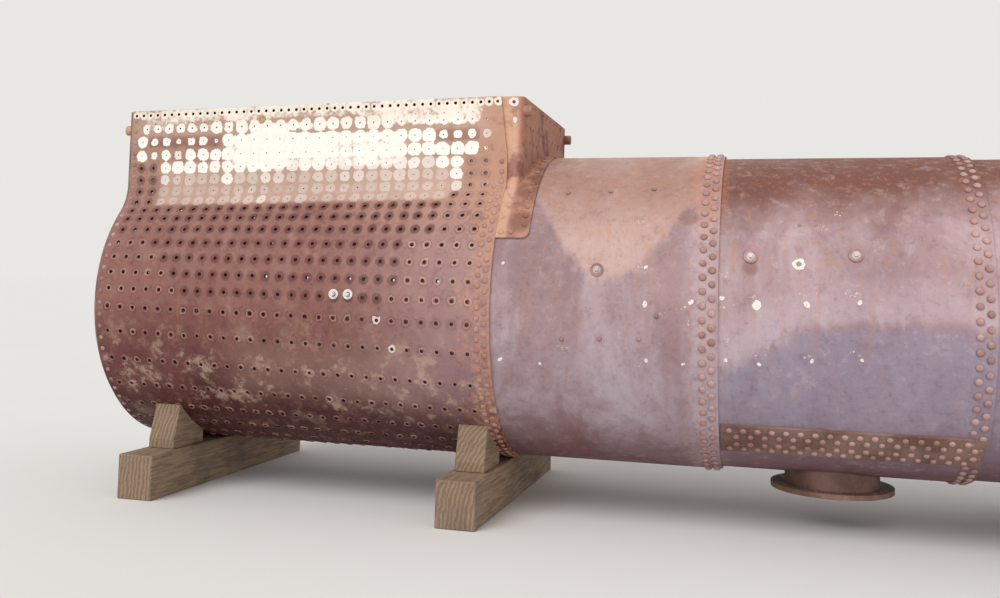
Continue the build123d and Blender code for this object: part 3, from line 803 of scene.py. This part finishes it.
def sharpen(piece, degrees):
    """Smooth shading with sharp edges past an angle."""
    with welded(piece.data) as bm:
        for edge in bm.edges:
            if len(edge.link_faces) == 2:
                edge.smooth = edge.calc_face_angle(0) < math.radians(degrees)


# Rivets: (share of the radius, share of the height) of a button head, from its foot to its crown
BUTTON = ((1, 0), (0.93, 0.45), (0.66, 0.82), (0.28, 0.98))
# Rows of a seam or strap: (distance from the edge or the middle, shift as a share of the pitch)
SEAM_ROWS = ((0.036, 0), (0.09, 0.5))
SEAM_PITCH = 0.0855
INNER_SEAM_PITCH = 0.083
TUBE_SHEET_ROW = 0.115
TUBE_SHEET_PITCH = 0.075
STRAP_ROWS = ((-0.092, 0), (-0.038, 0.5), (0.038, 0.5), (0.092, 0))
STRAP_PITCH = 0.083
STRAP_END = 0.05
# Rivets along the firebox sheet's edges: girths where rows start, and distances from the edge
FRONT_ROWS = (0.083, 0.035)
FRONT_ROWS_MARGIN = 0.03
FRONT_ROWS_PITCH = 0.034
FRONT_ROWS_START = 0.43
SECOND_ROW_START = 0.6
REAR_ROW = 0.032
REAR_ROW_PITCH = 0.083
REAR_ROW_START = 0.1


def circle(count, start=0):
    """Cosine and sine of angles spread evenly round from start."""
    angles = [start + math.tau * i / count for i in range(count)]
    return [(math.cos(angle), math.sin(angle)) for angle in angles]


def bridge(first, second, sides):
    """Faces between two round loops of vertices, each given by its first one."""
    return [(first + i, first + (i + 1) % sides, second + (i + 1) % sides, second + i) for i in range(sides)]


def rivets(name, places, radius=0.0215, height=0.015, material="rivet", sides=10):
    """One mesh of button heads on a list of (point, outward normal)."""
    verts, faces = [], []
    profile = [(radius * share, height * rise) for share, rise in BUTTON]
    for point, normal in places:
        spin = random.uniform(0, math.tau)
        tilt = normal.to_track_quat("Z", "Y").to_matrix()
        size = random.uniform(0.94, 1.05)
        base = len(verts)
        for ring_radius, ring_height in profile:
            for cos, sin in circle(sides, spin):
                local = Vector((ring_radius * cos, ring_radius * sin, ring_height))
                verts.append(point + tilt @ (local * size))
        top = len(verts) - sides
        crown, foot = len(verts), len(verts) + 1
        verts += [point + tilt @ Vector((0, 0, height * size)), point - tilt @ Vector((0, 0, 0.001))]
        for ring in range(base, top, sides):
            faces += bridge(ring, ring + sides, sides)
        for i in range(sides):
            j = (i + 1) % sides
            faces += [(top + i, top + j, crown), (base + j, base + i, foot)]
    mesh_piece(name, verts, faces, material)


def around_barrel(x, radius, pitch, start=0, inside=False):
    """Places round the barrel at a pitch."""
    count = round(math.tau * radius / pitch)
    places = [on_round(x, radius, -180 + 360 * (i + start) / count) for i in range(count)]
    return [(point, -normal if inside else normal) for point, normal in places]


def seam_rivets():
    for name, seam, radius in (("seam_1", SEAM_1, BARREL_RADIUS), ("seam_2", SEAM_2, MIDDLE_RADIUS)):
        inner = radius - 2 * COURSE_PLATE - GAP
        outside, inside = [], []
        for lap, start in SEAM_ROWS:
            outside += around_barrel(seam - lap, radius, SEAM_PITCH, start)
            inside += around_barrel(seam - lap, inner, INNER_SEAM_PITCH, start, inside=True)
        rivets(name + "_rivets", outside, 0.0225, 0.015)
        rivets(name + "_inner_rivets", inside, 0.0205, 0.012, sides=8)
    places = around_barrel(BARREL_FRONT - TUBE_SHEET_ROW, FRONT_RADIUS, TUBE_SHEET_PITCH)
    rivets("tube_sheet_rivets", places, 0.02, 0.013)


def wrapper_rivets():
    """Two staggered rows along the sheet's front edge, one along its rear edge."""
    front, rear = [], []
    for far in (False, True):
        girth = FRONT_ROWS_START
        odd = True
        while girth < FRONT_SECTION.girth:
            x = min(WRAPPER_FRONT - FRONT_ROWS[odd], front_edge(girth) - FRONT_ROWS_MARGIN)
            if odd or girth > SECOND_ROW_START:
                front.append(on_wrapper(x, (girth, girth), far=far))
            girth += FRONT_ROWS_PITCH
            odd = not odd
        girth = REAR_ROW_START
        while girth < REAR_SECTION.girth:
            rear.append(on_wrapper(WRAPPER_REAR + REAR_ROW, (girth, girth), far=far))
            girth += REAR_ROW_PITCH
    rivets("wrapper_front_rivets", front, 0.0185, 0.007, "edge_rivet")
    rivets("wrapper_rear_rivets", rear, 0.0165, 0.005)


# Sheets taken from the construction's meshes, with their small holes cut


def copy_of(node, name, material):
    """A piece with the node's own form, to be cut or bevelled."""
    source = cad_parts[node]
    mesh = source.data.copy()
    mesh.transform(source.matrix_world)
    piece = linked(name, mesh)
    mesh.materials.clear()
    mesh.materials.append(MATERIALS[material])
    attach(piece, "root")
    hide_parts(node)
    return piece


def cut(piece, places):
    """Takes round holes out of the piece, from (point, direction, radius, length) of each."""
    bm = bmesh.new()
    for point, direction, radius, length in places:
        turn = Vector(direction).to_track_quat("Z", "Y").to_matrix().to_4x4()
        bmesh.ops.create_cone(
            bm, cap_ends=True, segments=16, radius1=radius, radius2=radius, depth=length,
            matrix=Matrix.Translation(Vector(point)) @ turn,
        )
    bars = bpy.data.meshes.new("cutter")
    bm.to_mesh(bars)
    bm.free()
    cutter = linked("cutter", bars)
    weld = piece.modifiers.new("weld", "WELD")
    weld.merge_threshold = 0.00001
    modifier = piece.modifiers.new("cut", "BOOLEAN")
    modifier.operation = "DIFFERENCE"
    modifier.solver = "EXACT"
    modifier.object = cutter
    depsgraph = bpy.context.evaluated_depsgraph_get()
    mesh = bpy.data.meshes.new_from_object(piece.evaluated_get(depsgraph))
    piece.modifiers.clear()
    old = piece.data
    piece.data = mesh
    bpy.data.meshes.remove(old)
    bpy.data.objects.remove(cutter)
    sharpen(piece, 30)


STAY_HOLE_RADIUS = 0.013
END_STAY_MARGIN = 0.115
END_STAY_DROP = 0.165
END_STAY_PITCH = STAY_PITCH * 0.94
LOWEST_END_STAY = 0.14 - CROWN_FRONT
THROAT_STAY_DROP = 0.185
THROAT_STAY_REACH = 0.62
THROAT_STAY_CLEAR = 0.085
FIRE_HOLE_HEIGHT = RING_HEIGHT_FRONT - 0.64
FIRE_HOLE_HALF = (0.23, 0.17)
FIRE_HOLE_RIVETS = 28
FIRE_HOLE_MARGIN = 0.052
FIRE_HOLE_CLEAR = 0.11
RING_END_HOLES = 11
CORNER_HOLE_HEIGHT = 1.354
ALONG_X = (1, 0, 0)
ALONG_Y = (0, 1, 0)


def through(face, points, radius=STAY_HOLE_RADIUS, length=0.08):
    """Holes along X at a list of (y, height over the axis)."""
    return [((face, y, AXIS_HEIGHT + z), ALONG_X, radius, length) for y, z in points]


def ring_end_holes(face):
    """Rivet holes through an end sheet and the ring behind it."""
    height = edge_height(face) - RING_HOLE_DROP
    across = range(-(RING_END_HOLES // 2), RING_END_HOLES // 2 + 1)
    return through(face, [(i * 2 * RING_HOLE_PITCH, height) for i in across], RING_HOLE_RADIUS, 0.6)


def grid(first, step, rows, pitch, columns, stagger=0):
    """(y, height over the axis) of a field of holes, row by row."""
    places = [(row, column) for row in range(rows) for column in range(-columns, columns + 1)]
    return [((column + row % 2 * stagger) * pitch, first + row * step) for row, column in places]


def drilled_backhead():
    piece = copy_of("backhead", "backhead_sheet", "end_plate")
    top = edge_height(BACKHEAD_FACE) - END_STAY_DROP
    half_width, half_height = (half + FIRE_HOLE_CLEAR for half in FIRE_HOLE_HALF)
    points = []
    for y, z in grid(top, -STAY_PITCH, int((top + CROWN_REAR) / STAY_PITCH) + 1, END_STAY_PITCH, 12):
        reach = REAR_SECTION.half_width(z) - END_STAY_MARGIN if z > LOWEST_END_STAY else -1
        if abs(y) < reach and math.hypot(y / half_width, (z - FIRE_HOLE_HEIGHT) / half_height) > 1:
            points.append((y, z))
    cut(piece, through(BACKHEAD_FACE, points) + ring_end_holes(BACKHEAD_FACE))


def drilled_throat():
    piece = copy_of("throat_sheet", "throat_plate", "throat")
    field = grid(RING_HEIGHT_FRONT - THROAT_STAY_DROP, -STAY_PITCH, 4, STAY_PITCH, 6)
    outside = BARREL_RADIUS + THROAT_STAY_CLEAR
    points = [(y, z) for y, z in field if math.hypot(y, z) > outside and abs(y) < THROAT_STAY_REACH]
    corner = ((WRAPPER_FRONT + 0.033, 0, AXIS_HEIGHT + CORNER_HOLE_HEIGHT), ALONG_Y, RING_HOLE_RADIUS, 2)
    cut(piece, [corner] + through(THROAT_FACE, points) + ring_end_holes(THROAT_FACE))


def drilled_ring():
    piece = copy_of("mud_ring", "foundation_ring", "flange")
    places = []
    for i in range(RING_HOLE_COUNT):
        x = WRAPPER_REAR + RING_HOLE_FIRST + RING_HOLE_PITCH * i
        height = AXIS_HEIGHT + edge_height(x) - RING_HOLE_DROP
        places.append(((x, 0, height), ALONG_Y, RING_HOLE_RADIUS, 2))
    cut(piece, places + ring_end_holes(BACKHEAD_FACE) + ring_end_holes(THROAT_FACE))


TUBE_PITCH = 0.074
TUBE_HOLE_RADIUS = 0.0255
TUBE_FIELD_RADIUS = 0.86
TUBE_FIELD_FOOT = 0.275
DOME_HOLES = 28
DOME_HOLE_CIRCLE = 0.35
DOME_HOLE_RADIUS = 0.014
DOME_HOLE_LENGTH = 0.06
DOME_FLANGE_MIDDLE = 0.016


def drilled_tube_sheet():
    piece = copy_of("front_tube_sheet", "tube_sheet", "end_plate")
    field = grid(TUBE_FIELD_FOOT, TUBE_PITCH * math.sqrt(3) / 2, 9, TUBE_PITCH, 13, stagger=0.5)
    points = [point for point in field if math.hypot(*point) < TUBE_FIELD_RADIUS]
    cut(piece, through(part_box("front_tube_sheet")[1][0], points, TUBE_HOLE_RADIUS))


def drilled_dome_flange():
    piece = copy_of("dome_neck", "dome_seat", "flange")
    low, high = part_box("dome_neck")
    middle = (low[0] + high[0]) / 2
    places = []
    for cos, sin in circle(DOME_HOLES, math.pi / DOME_HOLES):
        point = (middle + DOME_HOLE_CIRCLE * cos, DOME_HOLE_CIRCLE * sin, low[2] + DOME_FLANGE_MIDDLE)
        places.append((point, (0, 0, 1), DOME_HOLE_RADIUS, DOME_HOLE_LENGTH))
    cut(piece, places)


def worn_timbers():
    """Bearers and chocks with their edges rounded by use."""
    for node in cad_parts:
        if "bearer" in node or "chocks" in node:
            piece = copy_of(node, node + "_timber", "timber")
            with welded(piece.data) as bm:
                bmesh.ops.dissolve_limit(bm, angle_limit=math.radians(1), verts=bm.verts, edges=bm.edges)
                sharp = [e for e in bm.edges if e.calc_length() > 0.05 and e.calc_face_angle(0) > 0.7]
                bmesh.ops.bevel(bm, geom=sharp, offset=0.009, segments=3, profile=0.5, affect="EDGES")
            sharpen(piece, 35)


# Small marks on the plates. Places are metres along from the first stay column and degrees over the axis.


def flakes(name, places, material, thickness=0.0006):
    """Thin ragged patches from (point, normal, half length, half width, inner radius, turn)."""
    verts, faces = [], []
    sides = 18
    for point, normal, length, width, inner, turn in places:
        tilt = normal.to_track_quat("Z", "Y").to_matrix() @ Matrix.Rotation(turn, 3, "Z")
        top = len(verts)
        for level in (thickness, -0.0004):
            for ragged in (True, False):
                for cos, sin in circle(sides):
                    swell = random.uniform(0.84, 1.08) if ragged else 1
                    x, y = (length * swell, width * swell) if ragged else (inner, inner)
                    verts.append(point + tilt @ Vector((x * cos, y * sin, level)))
        bore, under, under_bore = top + sides, top + 2 * sides, top + 3 * sides
        for first, second in ((top, bore), (under_bore, under), (under, top), (bore, under_bore)):
            faces += bridge(first, second, sides)
    mesh_piece(name, verts, faces, material, smooth=False)


TEST_SPOTS = (
    (2.855, 15, 0.012), (3.747, 14.5, 0.014), (3.748, 2.4, 0.02), (4.019, 3.4, 0.02), (4.195, 5.1, 0.016),
    (4.394, 3.1, 0.03), (4.673, 3.8, 0.022), (4.959, 4.8, 0.016), (2.847, -17.9, 0.018), (3.101, -18.8, 0.01),
    (3.755, -16, 0.014), (3.974, -16.7, 0.012), (4.219, -15.1, 0.012), (4.409, -16, 0.014),
    (4.703, -14.2, 0.014), (4.974, -13.2, 0.011),
)
DUSTY_SPOTS = (
    (3.688, 30.5), (3.404, 14.4), (3.717, 15), (4.011, 15.5), (3.96, 1.2), (4.028, -3.9), (3.853, -1.1),
    (4.217, 1.7), (4.218, -8.5), (4.204, 13), (4.367, 5.6), (4.653, 6.6), (4.932, 7.2), (4.398, -13.2),
    (4.665, -12.6), (4.934, -10.8), (4.863, 35.5), (4.786, 29.7), (3.714, -17.7), (3.251, -12.6),
)
STUDS = (
    (3.21, 44), (3.485, 44.7), (3.757, 46), (3.243, -10), (3.477, -9.5), (3.714, -9), (3.817, -1.4),
)
SMALL_BOSSES = ((4.634, 30.9), (4.724, 30.9))
PAINTED_BOSS = (4.629, 16.8)
SLEEVE_RADIUS = 0.033
PIN_RADIUS = 0.0125
PIN_REACH = 0.028


def stay_pins():
    """Bright new stay ends that stand out of the two sleeves."""
    low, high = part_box("bright_sleeves")
    height = (low[2] + high[2]) / 2
    sides = 20
    verts, faces = [], []
    for x in (low[0] + SLEEVE_RADIUS, high[0] - SLEEVE_RADIUS):
        base = len(verts)
        profile = ((0.012, PIN_RADIUS), (0.002 - PIN_REACH, PIN_RADIUS), (-PIN_REACH, PIN_RADIUS - 0.002))
        for inward, radius in profile:
            for cos, sin in circle(sides):
                verts.append((x + radius * cos, low[1] + inward, height + radius * sin))
        faces += bridge(base, base + sides, sides) + bridge(base + sides, base + 2 * sides, sides)
        faces.append(tuple(base + i for i in reversed(range(sides))))
        faces.append(tuple(base + 2 * sides + i for i in range(sides)))
    sharpen(mesh_piece("stay_pins", verts, faces, "steel"), 40)


def barrel_marks():
    spots, dabs = [], []
    for along, degrees, size in TEST_SPOTS:
        place = on_barrel(along, degrees)
        spots.append((*place, size, size * random.uniform(0.6, 0.9), 0.001, random.uniform(0, 3)))
    for along, degrees in DUSTY_SPOTS:
        for _ in range(random.randint(4, 7)):
            aside, turn = random.gauss(0, 0.022), random.gauss(0, 0.45)
            place = on_barrel(along + aside, degrees + turn)
            size = random.uniform(0.003, 0.008)
            dabs.append((*place, size, size * random.uniform(0.3, 0.8), 0.0004, random.uniform(0, 3)))
    spots.append((*on_barrel(*PAINTED_BOSS), 0.036, 0.036, 0.016, 0))
    side = Vector((0, -1, 0))
    for ahead, height, *sizes in (
        (0.033, CORNER_HOLE_HEIGHT, 0.034, 0.03, 0.012), (0.044, 1.233, 0.014, 0.019, 0.002),
    ):
        point = Vector((WRAPPER_FRONT + ahead, WRAPPER_PLATE - SIDE_HALF, AXIS_HEIGHT + height))
        spots.append((point, side, *sizes, 0))
    flakes("test_spots", spots, "chalk")
    flakes("chalk_dabs", dabs, "old_chalk")
    studs = [on_barrel(along, degrees, far) for along, degrees in STUDS for far in (False, True)]
    rivets("barrel_studs", studs, 0.014, 0.016, "fitting")
    holes = [on_barrel(along, degrees) for along, degrees in SMALL_BOSSES + (PAINTED_BOSS,)]
    rivets("barrel_hole_plugs", holes, 0.0125, 0.002, "fitting")


def strap_rivets():
    """Two rows along each edge of the outer straps, and the fire hole's rivets."""
    heads = []
    for node, radius, degrees, far in (
        ("rear_seam_strap", BARREL_RADIUS, -28, True),
        ("middle_seam_strap", MIDDLE_RADIUS, -47, False),
        ("front_seam_strap", FRONT_RADIUS, -20, True),
    ):
        low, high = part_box(node)
        top = radius + SHEET_RISE
        count = round((high[0] - low[0] - 2 * STRAP_END) / STRAP_PITCH)
        for offset, shift in STRAP_ROWS:
            turned = degrees + math.degrees(offset / top)
            for i in range(count):
                heads.append(on_round(low[0] + STRAP_END + (i + shift) * STRAP_PITCH, top, turned, far))
    rivets("strap_rivets", heads, 0.02, 0.013)
    heads = []
    reach = FIRE_HOLE_HALF[1] + FIRE_HOLE_MARGIN
    for cos, sin in circle(FIRE_HOLE_RIVETS):
        y = reach * cos + math.copysign(FIRE_HOLE_HALF[0] - FIRE_HOLE_HALF[1], cos)
        point = Vector((BACKHEAD_FACE, y, AXIS_HEIGHT + FIRE_HOLE_HEIGHT + reach * sin))
        heads.append((point, Vector((-1, 0, 0))))
    rivets("fire_hole_rivets", heads, 0.017, 0.011)


SKIRT_ANGLE = 24
SKIRT_REACH = 0.215
SKIRT_MARGIN = 0.036
SKIRT_FIRST = 5
SKIRT_STEP = 3.9
SKIRT_FOOT = 2.2
SKIRT_FOOT_RIVETS = (0.035, 0.1)


def skirt_rivets():
    """Rows near the edges of the throat sheet's skirt on the barrel."""
    heads = []
    top = BARREL_RADIUS + SHEET_RISE
    for far in (False, True):
        degrees = SKIRT_ANGLE + SKIRT_FIRST
        while degrees < 90:
            heads.append(on_round(WRAPPER_FRONT + SKIRT_REACH - SKIRT_MARGIN, top, degrees, far))
            degrees += SKIRT_STEP
        for along in SKIRT_FOOT_RIVETS:
            heads.append(on_round(WRAPPER_FRONT + along, top, SKIRT_ANGLE + SKIRT_FOOT, far))
    rivets("skirt_rivets", heads, 0.0185, 0.009, "throat")


def material_everywhere():
    """Construction nodes whose form is right get their finish: flange rust, where no other is named."""
    looks = {
        "backhead": "end_plate", "front_tube_sheet": "end_plate", "throat_sheet": "throat",
        "corner_lug": "throat", "washout_bosses": "fitting", "washout_plugs": "plug_face",
        "bright_sleeves": "steel", "side_plug": "brass",
    }
    kinds = {"course": "barrel", "bearer": "timber", "chocks": "timber"}
    for node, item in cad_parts.items():
        look = looks.get(node, kinds.get(node.split("_")[-1], "flange"))
        item.data.materials.clear()
        item.data.materials.append(MATERIALS[look])


# Stage, light and camera
AMBIENT = 0.62
BACKDROP = 0.81
FLOOR_REACH = 400

# Name, kind, place, target, power, and a sun's angle or an area lamp's size.
LAMPS = (
    ("key", "SUN", (-3.5, -8, 8.5), (0, 0, 0), 1.7, math.radians(40)),
    ("fill", "AREA", (6, -7, 3.4), (1, 0, 1.2), 260, 5),
    ("back", "AREA", (-2, 8, 7), (0, 0, 1.4), 170, 6),
)


def stage():
    """Pale floor and sky, a sun, and two area lamps that light the boiler alone."""
    floor_mesh = bpy.data.meshes.new("floor")
    corners = [(x * FLOOR_REACH, y * FLOOR_REACH, 0) for x, y in ((-1, -1), (1, -1), (1, 1), (-1, 1))]
    floor_mesh.from_pydata(corners, [], [(0, 1, 2, 3)])
    floor = linked("floor", floor_mesh)
    n = Nodes("pale_floor")
    n.colour = n.mix(n.noise(0.6, 3), (0.81, 0.8, 0.785), (0.78, 0.77, 0.755))
    floor_mesh.materials.append(n.finish(0.9))
    plain_floor = bpy.data.collections.new("plain_floor")
    plain_floor.objects.link(floor)
    plain_floor.collection_objects[0].light_linking.link_state = "EXCLUDE"
    world = bpy.data.worlds.new("studio")
    bpy.context.scene.world = world
    sky = Tree(world)
    shown = sky.add("LightPath", "Is Camera Ray")
    for kind in ("Is Glossy Ray", "Is Transmission Ray"):
        shown = sky.math("MAXIMUM", shown, sky.add("LightPath", kind))
    strength = sky.add("MapRange", "Result", (("Value", shown), ("To Min", AMBIENT), ("To Max", BACKDROP)))
    background = sky.tree.nodes["Background"].inputs
    sky.set(background["Color"], (1, 0.985, 0.96))
    sky.set(background["Strength"], strength)
    for name, kind, place, target, power, width in LAMPS:
        light = bpy.data.lights.new(name, kind)
        light.energy = power
        lamp = linked(name, light)
        lamp.location = place
        lamp.rotation_euler = (Vector(target) - Vector(place)).to_track_quat("-Z", "Y").to_euler()
        if kind == "SUN":
            light.angle = width
        else:
            light.size = width
            lamp.light_linking.receiver_collection = plain_floor


CAMERA_YAW = 15.36
CAMERA_PITCH = 3.65
CAMERA_ROLL = 1.44
CAMERA_AHEAD_OF_COLUMN_0 = 4.451
CAMERA_NEAR = 6.928
CAMERA_OVER_AXIS = 0.135
FOCAL_PIXELS = 976
PICTURE_WIDTH = 1000
PICTURE_HEIGHT = 598
AXIS_PIXEL_Y = 223
SENSOR = 36


def camera():
    turn = Matrix.Rotation(math.radians(CAMERA_YAW), 3, "Z")
    turn @= Matrix.Rotation(math.radians(90 + CAMERA_PITCH), 3, "X")
    turn @= Matrix.Rotation(math.radians(CAMERA_ROLL), 3, "Z")
    place = Vector((COLUMN_0 + CAMERA_AHEAD_OF_COLUMN_0, -CAMERA_NEAR, AXIS_HEIGHT + CAMERA_OVER_AXIS))
    data = bpy.data.cameras.new("camera")
    data.sensor_fit = "HORIZONTAL"
    data.sensor_width = SENSOR
    data.lens = FOCAL_PIXELS / PICTURE_WIDTH * SENSOR
    data.shift_y = (AXIS_PIXEL_Y - PICTURE_HEIGHT / 2) / PICTURE_WIDTH
    data.clip_end = 3 * FLOOR_REACH
    item = linked("camera", data)
    item.matrix_world = Matrix.Translation(place) @ turn.to_4x4()
    bpy.context.scene.camera = item


random.seed(11)
material_everywhere()
half_sheet("wrapper_near", False)
half_sheet("wrapper_far", True)
drilled_backhead()
drilled_throat()
drilled_ring()
drilled_tube_sheet()
drilled_dome_flange()
worn_timbers()
stay_pins()
seam_rivets()
wrapper_rivets()
strap_rivets()
skirt_rivets()
barrel_marks()
stage()
camera()
bpy.context.scene.view_settings.view_transform = "Standard"
